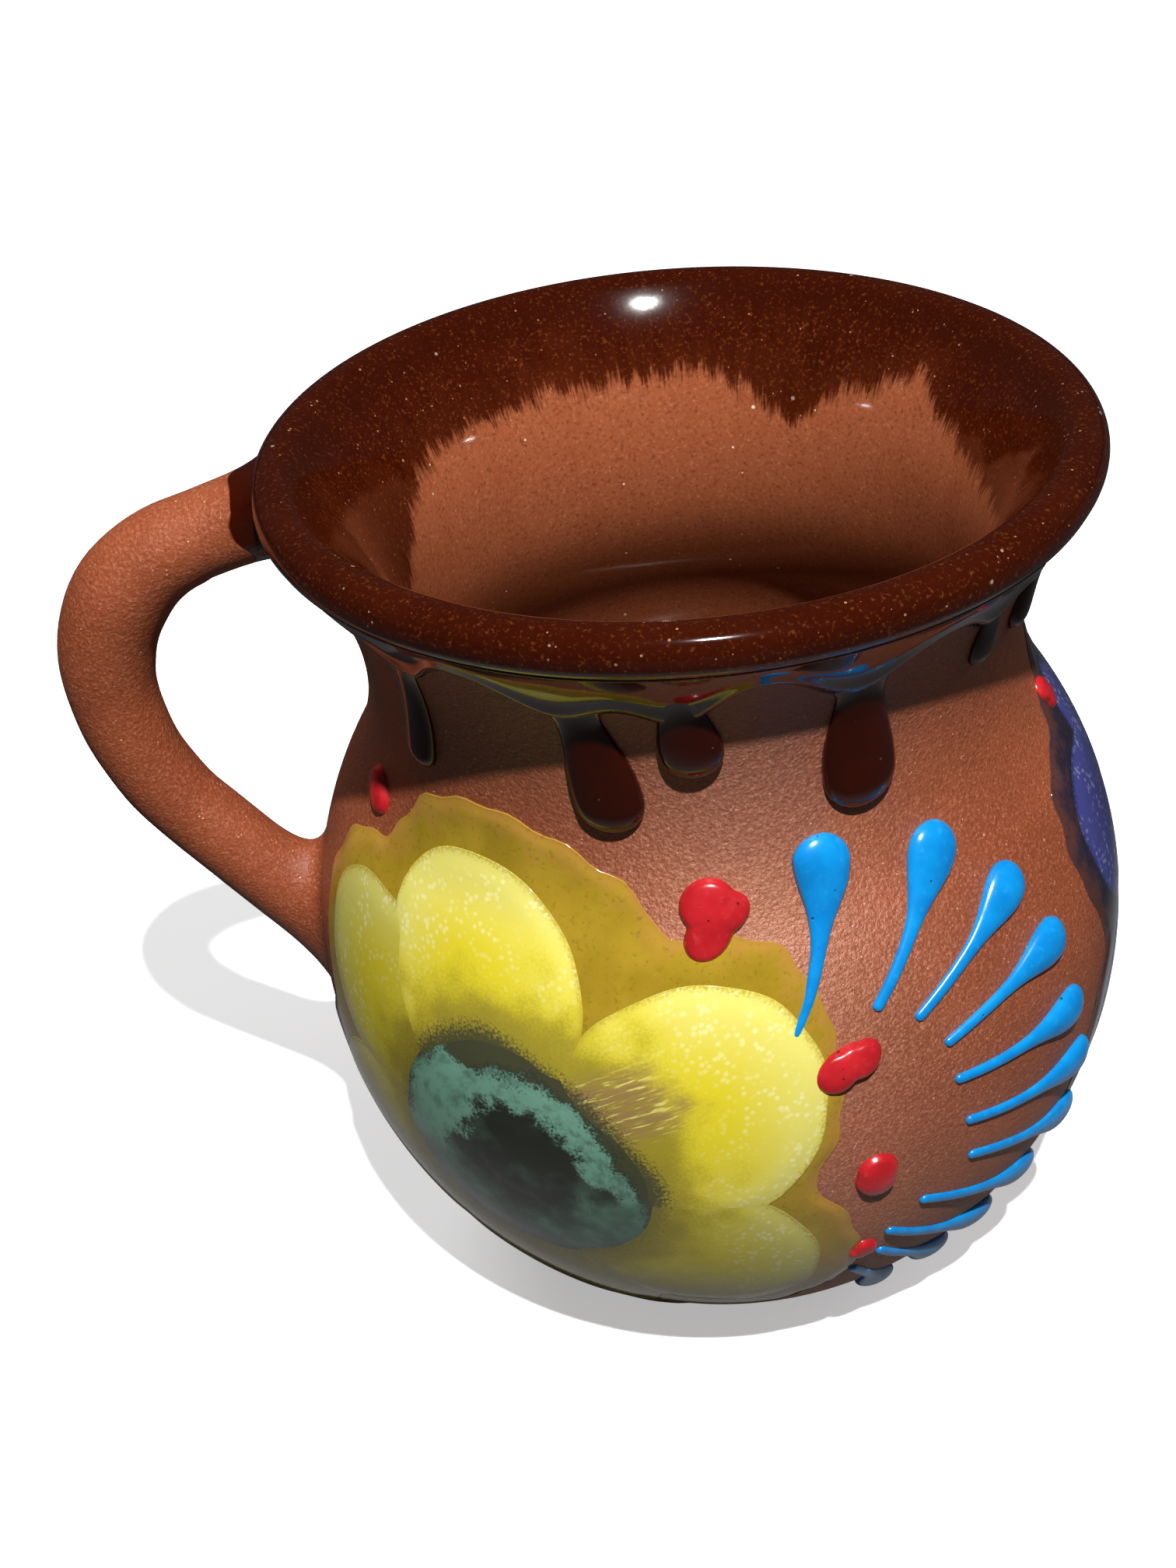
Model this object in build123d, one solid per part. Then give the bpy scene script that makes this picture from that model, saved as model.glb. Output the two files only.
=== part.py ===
from build123d import *
import os
from math import cos, radians, sin, sqrt, tan

# A clay jarrito: a round-bellied earthenware mug with a looped handle, a brown glaze that
# runs down from its rim, and flowers, trailed drops and dots of coloured glaze on its belly.
# Millimetres, +Z up. The origin is the middle of the foot, on the surface the mug stands on.
# The handle points along -X, and the side with the yellow flower faces -Y.

# Thrown pot, measured on the outside of its wall
height = 100.0
foot_diameter = 52.0
belly_diameter = 89.6
belly_height = 40.0
neck_diameter = 68.6
neck_height = 77.3
neck_curve_radius = 25.5
rim_diameter = 85.0
wall = 4.5
floor_thickness = 6.0
foot_edge_radius = 1.5

# Handle, a round coil of clay bent into a loop; its corners are those of its centre line
handle_diameter = 9.8
handle_reach = 62.3
handle_end_below_lip = 3.4
handle_corner_below_lip = 10.4
handle_corner_above_belly = 24.8
handle_end_below_belly = 1.9
upper_bend_share = 0.45
lower_bend_share = 0.52

# Soft clay smoothed round the two joints of the handle
joint_edge = 0.3
upper_joint_radius = 7.0
upper_joint_length = 11.0
lower_joint_radius = 8.2
lower_joint_length = 22.0

# Glaze on the rim, inside the mug, and running down from the rim
glaze_edge_below_rim = 12.0
rim_glaze_thickness = 0.5
liner_thickness = 0.5
run_rise = 0.55
run_taper = 1.4
run_top_level = 1.8
run_top_radius = 2.4

# A run: azimuth of its bead, azimuth of its top, level of its bead and radius of its bead
glaze_runs = [
    (-142.0, -135.0, 1.08, 2.2),
    (-105.0, -109.0, 1.12, 4.2),
    (-93.0, -93.0, 1.68, 3.6),
    (-65.3, -67.0, 1.11, 4.2),
    (-40.5, -42.0, 1.42, 1.9),
    (-26.5, -28.0, 1.40, 2.2),
    (4.0, 3.0, 1.14, 3.8),
    (32.0, 34.0, 1.52, 2.6),
    (54.0, 53.0, 1.10, 4.2),
    (94.0, 95.0, 1.38, 2.4),
    (132.0, 130.0, 1.18, 3.6),
]

# Flowers; petals lie round the heart at these angles, each tucked under those listed before it
flower_level = 0.0
flower_azimuths = {"yellow": -119.0, "blue": 18.0}
petal_angles = (15.0, 100.0, 324.0, 152.0, 266.0, 208.0)
petal_reach = 18.0
petal_length = 25.0
petal_width = 23.5
petal_thickness = 0.8
heart_radius = 13.0
eye_radius = 8.5
heart_thickness = 0.7
eye_thickness = 0.9
halo_margin = 3.5
halo_thickness = 0.5
skin_foot_margin = 2.0

# Fan of trailed drops beside each flower: heads on a wide ellipse, tail tips on a narrow one.
# Sideways sizes are degrees of azimuth from the flower, upward sizes are levels.
fan_azimuth = 41.4
drop_count = 11
drop_heads = (44.4, 0.83, 81.9, -78.0)
drop_tails = (19.0, 0.45, 98.0, -88.0)
fan_crowding = 0.2
drop_head_radius = 3.0
drop_tail_radius = 0.8
drop_rise = 0.5
drop_taper = 2.2

# Red dots beside each flower: azimuth from the flower and level of both ends, and radius
dot_rise = 0.55
red_dots = [
    (27.8, 0.78, 27.4, 0.64, 2.6),
    (42.6, 0.30, 45.6, 0.35, 1.7),
    (46.8, -0.06, 47.0, -0.09, 2.2),
    (44.0, -0.30, 44.2, -0.33, 1.4),
    (-39.4, 0.80, -37.2, 0.72, 1.3),
]

# Sections of a trailed bead: degrees round its head and its tail, and most steps between them
head_section_angles = (14, 40, 66, 90)
tail_section_angles = (50, 18)
most_bead_steps = 4
trail_look_ahead = 0.01

half_wall = wall / 2
handle_radius = handle_diameter / 2


def arc_radius(run, rise):
    """Radius of an arc that starts upright and moves sideways by run over a height of rise."""
    return (run ** 2 + rise ** 2) / (2 * run)


# Centre line of the wall: four arcs, each tangent to the next
lip_radius = rim_diameter / 2 - half_wall
lip_height = height - half_wall
belly_line = belly_diameter / 2 - half_wall
neck_line = neck_diameter / 2 - half_wall
lower_arc = arc_radius((belly_diameter - foot_diameter) / 2, belly_height) - half_wall
neck_arc = neck_curve_radius + half_wall
shoulder_arc = arc_radius(belly_line - neck_line, neck_height - belly_height) - neck_arc
flare_arc = arc_radius(lip_radius - neck_line, lip_height - neck_height)
lower_centre = belly_line - lower_arc
shoulder_centre = belly_line - shoulder_arc
neck_centre = neck_line + neck_arc
flare_centre = neck_line + flare_arc
shoulder_sine = (neck_height - belly_height) / (shoulder_arc + neck_arc)
lip_sine = (lip_height - neck_height) / flare_arc
lip_cosine = sqrt(1 - lip_sine ** 2)


def shoulder_top(out):
    """Height where the convex shoulder turns into the hollow neck, out from the centre line."""
    return belly_height + shoulder_sine * (shoulder_arc + out)


def lip_end(out):
    """Height where the straight flank of the wall ends and the round lip begins."""
    return lip_height - lip_sine * out


def wall_at(z, out):
    """Radius of the wall at height z, out from its centre line, and its normal (out, up)."""
    if z < belly_height:
        centre, level, arc, side = lower_centre, belly_height, lower_arc, 1
    elif z < shoulder_top(out):
        centre, level, arc, side = shoulder_centre, belly_height, shoulder_arc, 1
    elif z < neck_height:
        centre, level, arc, side = neck_centre, neck_height, neck_arc, -1
    else:
        centre, level, arc, side = flare_centre, neck_height, flare_arc, -1
    radius = arc + side * out
    across = sqrt(radius ** 2 - (z - level) ** 2)
    return centre + side * across, across / radius, side * (z - level) / radius


def wall_height(level):
    """Height of a level on the wall: -1 is the foot, 0 the belly, 1 the neck and 2 the lip."""
    if level < 0:
        return belly_height * (1 + level)
    if level < 1:
        return belly_height + level * (neck_height - belly_height)
    return neck_height + (level - 1) * (lip_height - neck_height)


def on_wall(azimuth, level):
    """Point on the outside of the wall, and its outward normal."""
    z = wall_height(level)
    radius, out, up = wall_at(z, half_wall)
    turn = radians(azimuth)
    point = Vector(radius * cos(turn), radius * sin(turn), z)
    return point, Vector(out * cos(turn), out * sin(turn), up)


def profile_point(z, out):
    return Vector(wall_at(z, out)[0], 0, z)


def wall_curve(out, start, end):
    """Arcs that follow the wall at a distance out from its centre line, from start to end."""
    joints = [z for z in (belly_height, shoulder_top(out), neck_height)
              if min(start, end) < z < max(start, end)]
    stops = [start] + sorted(joints, reverse=start > end) + [end]
    curve = []
    for low, high in zip(stops, stops[1:]):
        middle = profile_point((low + high) / 2, out)
        curve.append(ThreePointArc(profile_point(low, out), middle, profile_point(high, out)))
    return curve


def lip_point(out, along=0.0):
    """Point beside the middle of the lip, out across the wall and along it."""
    x = lip_radius + out * lip_cosine + along * lip_sine
    return Vector(x, 0, lip_height - out * lip_sine + along * lip_cosine)


def spin(*edges):
    return revolve(make_face(edges), Axis.Z)


def pot_form(out):
    """The pot grown by out on both faces of its wall, as a solid of revolution."""
    outer = wall_curve(out, 0, lip_end(out))
    inner = wall_curve(-out, lip_end(-out), floor_thickness)
    lip = ThreePointArc(lip_point(out), lip_point(0, out), lip_point(-out))
    base = Polyline(inner[-1] @ 1, (0, 0, floor_thickness), (0, 0, 0), outer[0] @ 0)
    return spin(*outer, lip, *inner, base)


def filled_form(out):
    """Everything inside the outer face of the pot, its hollow filled to above the lip."""
    outer = wall_curve(out, 0, lip_end(out))
    tip = lip_point(0, out)
    middle = lip_point(out * cos(radians(45)), out * sin(radians(45)))
    lip = ThreePointArc(lip_point(out), middle, tip)
    cover = height + handle_diameter
    closing = Polyline(tip, (tip.X, 0, cover), (0, 0, cover), (0, 0, 0), outer[0] @ 0)
    return spin(*outer, lip, closing)


def skin(thickness):
    """A layer on the outside of the wall between the foot and the neck."""
    low = skin_foot_margin
    inside = wall_curve(half_wall, low, neck_height)
    outside = wall_curve(half_wall + thickness, neck_height, low)
    top = Line(inside[-1] @ 1, outside[0] @ 0)
    bottom = Line(outside[-1] @ 1, inside[0] @ 0)
    return spin(*inside, top, *outside, bottom)


# Pot
outer_form = filled_form(half_wall)
pot = pot_form(half_wall)
foot_edge = pot.edges().filter_by(GeomType.CIRCLE).sort_by(Axis.Z)[0]
clay_body = fillet(foot_edge, foot_edge_radius)

# Handle: its centre line runs from under the lip, out, down and back in to the belly
upper_end_height = lip_height - handle_end_below_lip
upper_corner_height = lip_height - handle_corner_below_lip
lower_corner_height = belly_height + handle_corner_above_belly
lower_end_height = belly_height - handle_end_below_belly
upper_end = Vector(-wall_at(upper_end_height, 0)[0], 0, upper_end_height)
upper_corner = Vector(-handle_reach, 0, upper_corner_height)
lower_corner = Vector(-handle_reach, 0, lower_corner_height)
lower_end = Vector(-wall_at(lower_end_height, 0)[0], 0, lower_end_height)


def bend_radius(before, corner, after, share):
    """Radius of a bend that takes up the given share of the handle's upright run."""
    turn = (corner - before).get_angle(after - corner)
    return share * (upper_corner_height - lower_corner_height) / tan(radians(turn / 2))


bends = [
    bend_radius(upper_end, upper_corner, lower_corner, upper_bend_share),
    bend_radius(upper_corner, lower_corner, lower_end, lower_bend_share),
]
handle_line = FilletPolyline(upper_end, upper_corner, lower_corner, lower_end, radius=bends)
handle_start = Plane(upper_end, x_dir=(0, 1, 0), z_dir=upper_corner - upper_end)
coil = sweep(handle_start * Circle(handle_radius), path=handle_line)
handle = coil - outer_form


def joint_clay(end, towards, radius, length):
    """A hollow-sided collar round one end of the handle, spread out where it meets the pot."""
    axis = Plane(end, x_dir=(0, 1, 0), z_dir=towards - end)
    rim = handle_radius + joint_edge
    flank = Bezier((radius, 0, 0), (rim, 0, length / 3), (rim, 0, length))
    closing = Polyline((rim, 0, length), (0, 0, length), (0, 0, 0), (radius, 0, 0))
    return axis * spin(flank, closing) - coil - outer_form


upper_joint_clay = joint_clay(upper_end, upper_corner, upper_joint_radius, upper_joint_length)
lower_joint_clay = joint_clay(lower_end, lower_corner, lower_joint_radius, lower_joint_length)

# Brown glaze over the rim and clear glaze inside
glaze_edge = height - glaze_edge_below_rim
above_edge = Pos(0, 0, glaze_edge + height / 2) * Box(2 * rim_diameter, 2 * rim_diameter, height)
rim_coat = (pot_form(half_wall + rim_glaze_thickness) - pot) & above_edge
rim_glaze = rim_coat - [handle, upper_joint_clay]


def liner():
    """A thin coat over the floor and the inner face of the wall, up to the brown glaze."""
    out = half_wall + liner_thickness
    coat_floor = floor_thickness + liner_thickness
    clay_side = wall_curve(-half_wall, glaze_edge, floor_thickness)
    glaze_side = wall_curve(-out, coat_floor, glaze_edge)
    floor = Polyline(clay_side[-1] @ 1, (0, 0, floor_thickness), (0, 0, coat_floor), glaze_side[0] @ 0)
    top = Line(glaze_side[-1] @ 1, clay_side[0] @ 0)
    return spin(*clay_side, floor, *glaze_side, top)


def trail_point(start, end, share):
    """Point on the wall and its normal, part of the way along a trail between two places."""
    azimuth = start[0] + (end[0] - start[0]) * share
    level = start[1] + (end[1] - start[1]) * share
    return on_wall(azimuth, level)


def trail_length(start, end, steps=8):
    points = [trail_point(start, end, step / steps)[0] for step in range(steps + 1)]
    return sum((after - before).length for before, after in zip(points, points[1:]))


def bead(start, end, head, tail, rise, taper, under):
    """A drop of glaze on the wall, round at its start and tapering to its end.

    Places are (azimuth, level), head and tail are radii, rise is its height over its half
    width, and under lists what it lies on besides the wall.
    """
    length = trail_length(start, end)
    stations = []
    for angle in head_section_angles:
        stations.append((-head * cos(radians(angle)), head * sin(radians(angle))))
    steps = min(most_bead_steps, max(1, round(length / head)))
    for share in [step / steps for step in range(1, steps + 1)]:
        stations.append((length * share, tail + (head - tail) * (1 - share) ** taper))
    for angle in tail_section_angles:
        stations.append((length + tail * cos(radians(angle)), tail * sin(radians(angle))))
    sections = []
    for along, half_width in stations:
        here, normal = trail_point(start, end, along / length)
        ahead = trail_point(start, end, along / length + trail_look_ahead)[0] - here
        section = Plane(here, x_dir=normal.cross(ahead), z_dir=ahead)
        sections.append(section * Ellipse(half_width, half_width * rise))
    return loft(sections) - [outer_form, *under]


nodes = {
    "clay_body": clay_body,
    "handle": handle,
    "upper_joint_clay": upper_joint_clay,
    "lower_joint_clay": lower_joint_clay,
    "rim_glaze": rim_glaze,
    "liner_glaze": liner(),
}

for number, (azimuth, top_azimuth, level, radius) in enumerate(glaze_runs, 1):
    top_radius = min(radius, run_top_radius)
    run = bead((azimuth, level), (top_azimuth, run_top_level), radius, top_radius,
               run_rise, run_taper, [rim_coat])
    nodes[f"glaze_run_{number:02d}"] = run


def flower_layers():
    """Petals, heart, eye and the glaze that spread round them, on the wall's +X side."""
    place, normal = on_wall(0, flower_level)
    tangent = Plane(place, x_dir=(0, 1, 0), z_dir=normal)
    depth = belly_diameter / 2

    def layer(outline, thickness):
        prism = extrude(tangent.offset(2 * thickness) * outline, amount=-depth)
        return skin(thickness) & prism

    heart_outline = Circle(heart_radius)
    covered = heart_outline
    spread = Circle(heart_radius + halo_margin)
    layers = {}
    for number, angle in enumerate(petal_angles, 1):
        seat = Rot(0, 0, angle) * Pos(petal_reach, 0)
        outline = seat * Ellipse(petal_length / 2, petal_width / 2)
        layers[f"petal_{number}"] = layer(outline - covered, petal_thickness)
        covered = covered + outline
        spread = spread + seat * Ellipse(petal_length / 2 + halo_margin, petal_width / 2 + halo_margin)
    layers["heart"] = layer(heart_outline - Circle(eye_radius), heart_thickness)
    layers["eye"] = layer(Circle(eye_radius), eye_thickness)
    layers["halo"] = layer(spread - covered, halo_thickness)
    return layers


def fan_place(ellipse, share):
    """Place on one of the fan's two ellipses, crowded towards the fan's lower end."""
    reach, rise, first, last = ellipse
    angle = radians(first + (last - first) * (share + fan_crowding * share * (1 - share)))
    return fan_azimuth + reach * cos(angle), rise * sin(angle)


def fan_drops(under):
    """Trailed drops whose heads spread away from the flower."""
    drops = []
    for number in range(drop_count):
        share = number / (drop_count - 1)
        drops.append(bead(fan_place(drop_heads, share), fan_place(drop_tails, share),
                          drop_head_radius, drop_tail_radius, drop_rise, drop_taper, under))
    return drops


def flower_dots(under):
    dots = []
    for turn, level, end_turn, end_level, radius in red_dots:
        dots.append(bead((turn, level), (end_turn, end_level), radius, radius, dot_rise, 1, under))
    return dots


# One flower with its drops and dots, repeated round the belly
layers = flower_layers()
under_trails = [layers["halo"], layers["petal_1"]]
drops = fan_drops(under_trails)
dots = flower_dots(under_trails)
for colour, azimuth in flower_azimuths.items():
    turned = Rot(0, 0, azimuth)
    for name, layer in layers.items():
        nodes[f"{colour}_flower_{name}"] = turned * layer
    nodes[f"{colour}_flower_drops"] = Compound(children=[turned * drop.solid() for drop in drops])
    nodes[f"{colour}_flower_dots"] = Compound(children=[turned * dot.solid() for dot in dots])

os.makedirs("parts", exist_ok=True)
for name, shape in nodes.items():
    export_step(shape, f"parts/{name}.step")
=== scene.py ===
import math

import bpy
import numpy as np
from mathutils import Matrix, Vector

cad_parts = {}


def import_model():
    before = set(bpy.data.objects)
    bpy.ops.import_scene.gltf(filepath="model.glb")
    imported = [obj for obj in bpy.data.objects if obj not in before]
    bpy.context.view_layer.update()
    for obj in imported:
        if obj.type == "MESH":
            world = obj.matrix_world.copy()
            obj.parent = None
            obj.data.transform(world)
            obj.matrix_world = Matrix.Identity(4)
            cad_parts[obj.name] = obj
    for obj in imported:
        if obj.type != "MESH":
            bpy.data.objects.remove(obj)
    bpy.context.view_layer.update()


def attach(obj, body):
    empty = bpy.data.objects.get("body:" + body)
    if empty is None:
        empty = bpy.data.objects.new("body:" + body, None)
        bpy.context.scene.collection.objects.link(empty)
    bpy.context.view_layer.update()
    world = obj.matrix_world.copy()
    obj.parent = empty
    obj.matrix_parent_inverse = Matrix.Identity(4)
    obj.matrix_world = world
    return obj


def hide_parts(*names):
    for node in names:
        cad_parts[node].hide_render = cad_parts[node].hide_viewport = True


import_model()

# Lengths below are millimetres, as in the model, and become metres when a mesh is made.
# Angles are degrees of azimuth about the mug's axis: -90 is the front and 180 the handle.
MM = 0.001

# Thrown pot, on the outside of its wall
HEIGHT = 100.0
FOOT_RADIUS = 26.0
BELLY_RADIUS = 44.8
BELLY_HEIGHT = 40.0
NECK_RADIUS = 34.3
NECK_HEIGHT = 77.3
NECK_CURVE = 25.5
RIM_RADIUS = 42.5
WALL = 4.5
FLOOR = 6.0
FOOT_EDGE = 1.5
HALF = WALL / 2

# Unevenness of the hand-made rim: its tilt along X and Y, the height at which the tilt starts, the
# share by which the rim is drawn in, and the reach beyond the rim over which that fades
RIM_TILT = (-0.021, -0.045)
TILT_START = 68.0
RIM_DRAWN_IN = 0.018
DRAWN_IN_FADE = (2.0, 8.0)

# Steps of a mesh round the mug, with their azimuths, over the lip, and in millimetres up the wall
TURNS = 288
AZIMUTHS = np.arange(TURNS) * 360 / TURNS
LIP_STEPS = 26
ARC_STEP = 0.45

# Handle: heights of its ends and corners from the top, and the radii of its two bends
HANDLE_RADIUS = 4.45
HANDLE_REACH = 62.0
HANDLE_HEIGHTS = (94.4, 88.6, 65.6, 38.1)
BEND_RADII = (17.0, 30.0)
BEND_STEPS = 24
COIL_COLUMNS = 48
COIL_TURNS = np.radians(np.arange(COIL_COLUMNS) * 360 / COIL_COLUMNS)
COIL_STEP = 1.1

# Swelling of the coil: how much thicker it gets, where along it, and over what share of it
SWELL, SWELL_MIDDLE, SWELL_WIDTH = 0.75, 0.33, 0.25

# Roots of the handle: the length of centre line each takes up, how far back it leaves the coil, and
# how far it spreads on the wall; the upper one spreads further below, by droop
UPPER_ROOT_LENGTH, UPPER_ROOT_BACK, UPPER_ROOT_SPREAD, UPPER_ROOT_DROOP = 13.5, 8.0, 4.4, 0.7
LOWER_ROOT_LENGTH, LOWER_ROOT_BACK, LOWER_ROOT_SPREAD = 22.0, 9.0, 7.0
ROOT_NARROWING = 0.45
ROOT_SINK = 0.05
ROOT_ROWS = 14

# Depth to which a layer or bead of glaze is sunk into what it lies on
SINK = 0.3


def smooth(low, high, value):
    """Eases from 0 to 1 as value goes from low to high."""
    share = np.clip((value - low) / (high - low), 0, 1)
    return share * share * (3 - 2 * share)


def hump(angle, centre, width):
    """Bell curve of azimuth that wraps round the mug."""
    away = (np.asarray(angle) - centre + 180) % 360 - 180
    return np.exp(-(away / width) ** 2)


def ripple(angle, seed, waves, size):
    """Smooth closed unevenness round a full turn, from a few sine waves."""
    dice = np.random.default_rng(seed)
    total = np.zeros_like(np.asarray(angle, float))
    for wave in waves:
        total += dice.uniform(0.4, 1.0) * np.sin(np.radians(angle) * wave + dice.uniform(0, 2 * math.pi))
    return size * total / len(waves)


def unit(vector):
    """A vector of length 1 in the same direction."""
    return vector / np.linalg.norm(vector)


def spun(x, y, turn):
    """A place in a plane turned about the plane's middle, by radians."""
    return np.array([x * math.cos(turn) - y * math.sin(turn), x * math.sin(turn) + y * math.cos(turn)])


def arc_radius(run, rise):
    """Radius of an arc that starts upright and moves sideways by run over a height of rise."""
    return (run ** 2 + rise ** 2) / (2 * run)


# Centre line of the wall: four tangent arcs, as in the model
LIP_RADIUS, LIP_HEIGHT = RIM_RADIUS - HALF, HEIGHT - HALF
BELLY_LINE, NECK_LINE = BELLY_RADIUS - HALF, NECK_RADIUS - HALF
LOWER_ARC = arc_radius(BELLY_RADIUS - FOOT_RADIUS, BELLY_HEIGHT) - HALF
NECK_ARC = NECK_CURVE + HALF
SHOULDER_ARC = arc_radius(BELLY_LINE - NECK_LINE, NECK_HEIGHT - BELLY_HEIGHT) - NECK_ARC
FLARE_ARC = arc_radius(LIP_RADIUS - NECK_LINE, LIP_HEIGHT - NECK_HEIGHT)
SHOULDER_TURN = math.asin((NECK_HEIGHT - BELLY_HEIGHT) / (SHOULDER_ARC + NECK_ARC))
LIP_TURN = math.asin((LIP_HEIGHT - NECK_HEIGHT) / FLARE_ARC)


def arc(centre, radius, start, end, side, count=None):
    """Points (radius, height, normal out, normal up) of an arc; side is -1 on a hollow curve."""
    count = count or max(3, int(abs(end - start) * abs(radius) / ARC_STEP))
    turn = np.linspace(start, end, count)
    across, up = np.cos(turn), np.sin(turn)
    points = (centre[0] + side * radius * across, centre[1] + side * radius * up, across, up)
    return np.stack(points, 1)


def wall_side(out):
    """The wall from the foot to the lip, out from its centre line, with normals facing outside."""
    lower = (BELLY_LINE - LOWER_ARC, BELLY_HEIGHT)
    shoulder = (BELLY_LINE - SHOULDER_ARC, BELLY_HEIGHT)
    neck = (NECK_LINE + NECK_ARC, NECK_HEIGHT)
    flare = (NECK_LINE + FLARE_ARC, NECK_HEIGHT)
    bottom = FLOOR if out < 0 else FOOT_EDGE
    foot_turn = -math.asin((BELLY_HEIGHT - bottom) / (LOWER_ARC + out))
    arcs = [
        arc(lower, LOWER_ARC + out, foot_turn, 0, 1),
        arc(shoulder, SHOULDER_ARC + out, 0, SHOULDER_TURN, 1),
        arc(neck, NECK_ARC - out, SHOULDER_TURN, 0, -1),
        arc(flare, FLARE_ARC - out, 0, -LIP_TURN, -1),
    ]
    return np.concatenate([arcs[0]] + [piece[1:] for piece in arcs[1:]])


class Profile:
    """A line round which a surface turns, read by its length from the foot."""

    def __init__(self, points):
        steps = np.hypot(np.diff(points[:, 0]), np.diff(points[:, 1]))
        self.length = np.concatenate([[0], np.cumsum(steps)])
        self.points = points

    def at(self, length):
        """Radius, height, and normal out and up at a length along the line."""
        return [np.interp(length, self.length, self.points[:, column]) for column in range(4)]

    def place(self, length, angle, out=0.0):
        """Points at a length along the line and an azimuth, out from the surface."""
        radius, height, across, up = self.at(length)
        turn = np.radians(angle)
        reach = radius + across * out
        return np.stack([reach * np.cos(turn), reach * np.sin(turn), height + up * out], -1)


# The wall in three pieces: up the outside, over the round lip, and down the inside
outer_wall = wall_side(HALF)
lip_cap = arc((LIP_RADIUS, LIP_HEIGHT), HALF, -LIP_TURN, math.pi - LIP_TURN, 1, LIP_STEPS)
inner_wall = wall_side(-HALF)[::-1] * np.array([1, 1, -1, -1])
outside = Profile(np.concatenate([outer_wall, lip_cap[1:LIP_STEPS // 2 + 1]]))
lip_start = outside.length[len(outer_wall) - 1]


def length_at(height):
    """Length along the outside at a height."""
    return np.interp(height, outer_wall[:, 1], outside.length[:len(outer_wall)])


def outer_radius(height):
    """Radius of the outside, the round lip included, at a height."""
    lip = LIP_RADIUS + np.sqrt(np.maximum(HALF ** 2 - (height - LIP_HEIGHT) ** 2, 0))
    flank = np.interp(height, outer_wall[:, 1], outer_wall[:, 0])
    return np.where(height > outer_wall[-1, 1], lip, flank)


def settle(points):
    """Tilts the rim, high in front and by the handle, and draws it in, growing from the neck up."""
    moved = np.array(points, float)
    share = smooth(TILT_START, LIP_HEIGHT, moved[..., 2])
    moved[..., 2] += share * (RIM_TILT[0] * moved[..., 0] + RIM_TILT[1] * moved[..., 1])
    fade_from, fade_to = DRAWN_IN_FADE
    reach = np.hypot(moved[..., 0], moved[..., 1])
    near = smooth(RIM_RADIUS + fade_to, RIM_RADIUS + fade_from, reach)
    moved[..., :2] *= (1 - RIM_DRAWN_IN * share * near)[..., None]
    return moved


def in_scene(name, data):
    """A new object in the scene."""
    made = bpy.data.objects.new(name, data)
    bpy.context.scene.collection.objects.link(made)
    return made


def ring_mesh(name, rings, **maps):
    """A closed mesh from rings of points, with a point closing each end.

    Each map holds two coordinates for each ring point and is kept as a UV map of that name.
    """
    rings = settle(np.asarray(rings, float)) * MM
    rows, columns = rings.shape[:2]
    ends = [rings[0].mean(0), rings[-1].mean(0)]
    points = np.concatenate([rings.reshape(-1, 3), ends])
    here = np.arange(rows * columns).reshape(rows, columns)
    after = np.roll(here, -1, axis=1)
    faces = np.stack([here[:-1], after[:-1], after[1:], here[1:]], -1).reshape(-1, 4).tolist()
    first, last = rows * columns, rows * columns + 1
    for column in range(columns):
        faces.append((first, after[0, column], here[0, column]))
        faces.append((last, here[-1, column], after[-1, column]))
    mesh = bpy.data.meshes.new(name)
    mesh.from_pydata(points.tolist(), [], faces)
    corner = np.empty(len(mesh.loops), np.int32)
    mesh.loops.foreach_get("vertex_index", corner)
    for key, values in maps.items():
        values = np.asarray(values, float)
        flat = np.concatenate([values.reshape(-1, 2), [values[0].mean(0), values[-1].mean(0)]])
        layer = mesh.uv_layers.new(name=key)
        layer.data.foreach_set("uv", flat[corner].astype(np.float32).ravel())
    mesh.shade_smooth()
    mesh.update()
    return in_scene(name, mesh)


def fit(piece, material, slot, *nodes):
    """Finishes a piece: its material, the body it rides on and the nodes it stands for; slot is not
    used.
    """
    piece.data.materials.append(material)
    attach(piece, "root")
    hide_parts(*nodes)
    return piece


# Shader helpers

def put(near, kind, props=None, args=(), **inputs):
    """Adds a node beside near, a node or a socket; args fill inputs by place, keywords by name.

    A socket is linked, and a colour is a linear red, green, blue triple.
    """
    tree = near.id_data
    made = tree.nodes.new("ShaderNode" + kind)
    for key, value in (props or {}).items():
        setattr(made, key, value)
    pairs = list(enumerate(args)) + [(key.replace("_", " "), value) for key, value in inputs.items()]
    for key, value in pairs:
        if isinstance(value, bpy.types.NodeSocket):
            tree.links.new(value, made.inputs[key])
        elif value is not None:
            colour = made.inputs[key].type == "RGBA"
            made.inputs[key].default_value = (*value, 1) if colour else value
    return made


def reckon(operation, *values):
    """Result of a math node on two values, each a socket or a number."""
    sockets = [value for value in values if isinstance(value, bpy.types.NodeSocket)]
    return put(sockets[0], "Math", {"operation": operation}, args=values).outputs[0]


def sum_of(*values):
    return reckon("ADD", *values)


def product(*values):
    return reckon("MULTIPLY", *values)


def vector_math(operation, output, *places):
    """Result of a vector math node, the first of whose places is a socket."""
    return put(places[0], "VectorMath", {"operation": operation}, args=places).outputs[output]


def dot(place, direction):
    """How far a place lies along a direction."""
    return vector_math("DOT_PRODUCT", "Value", place, direction)


def unit_of(place):
    """Direction of a place from the middle of its map."""
    return vector_math("NORMALIZE", "Vector", place)


def reach_of(place):
    """Distance of a place from the middle of its map."""
    return vector_math("LENGTH", "Value", place)


def times(factor, colour):
    """A colour made lighter or darker by a factor."""
    return tuple(factor * part for part in colour)


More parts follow.
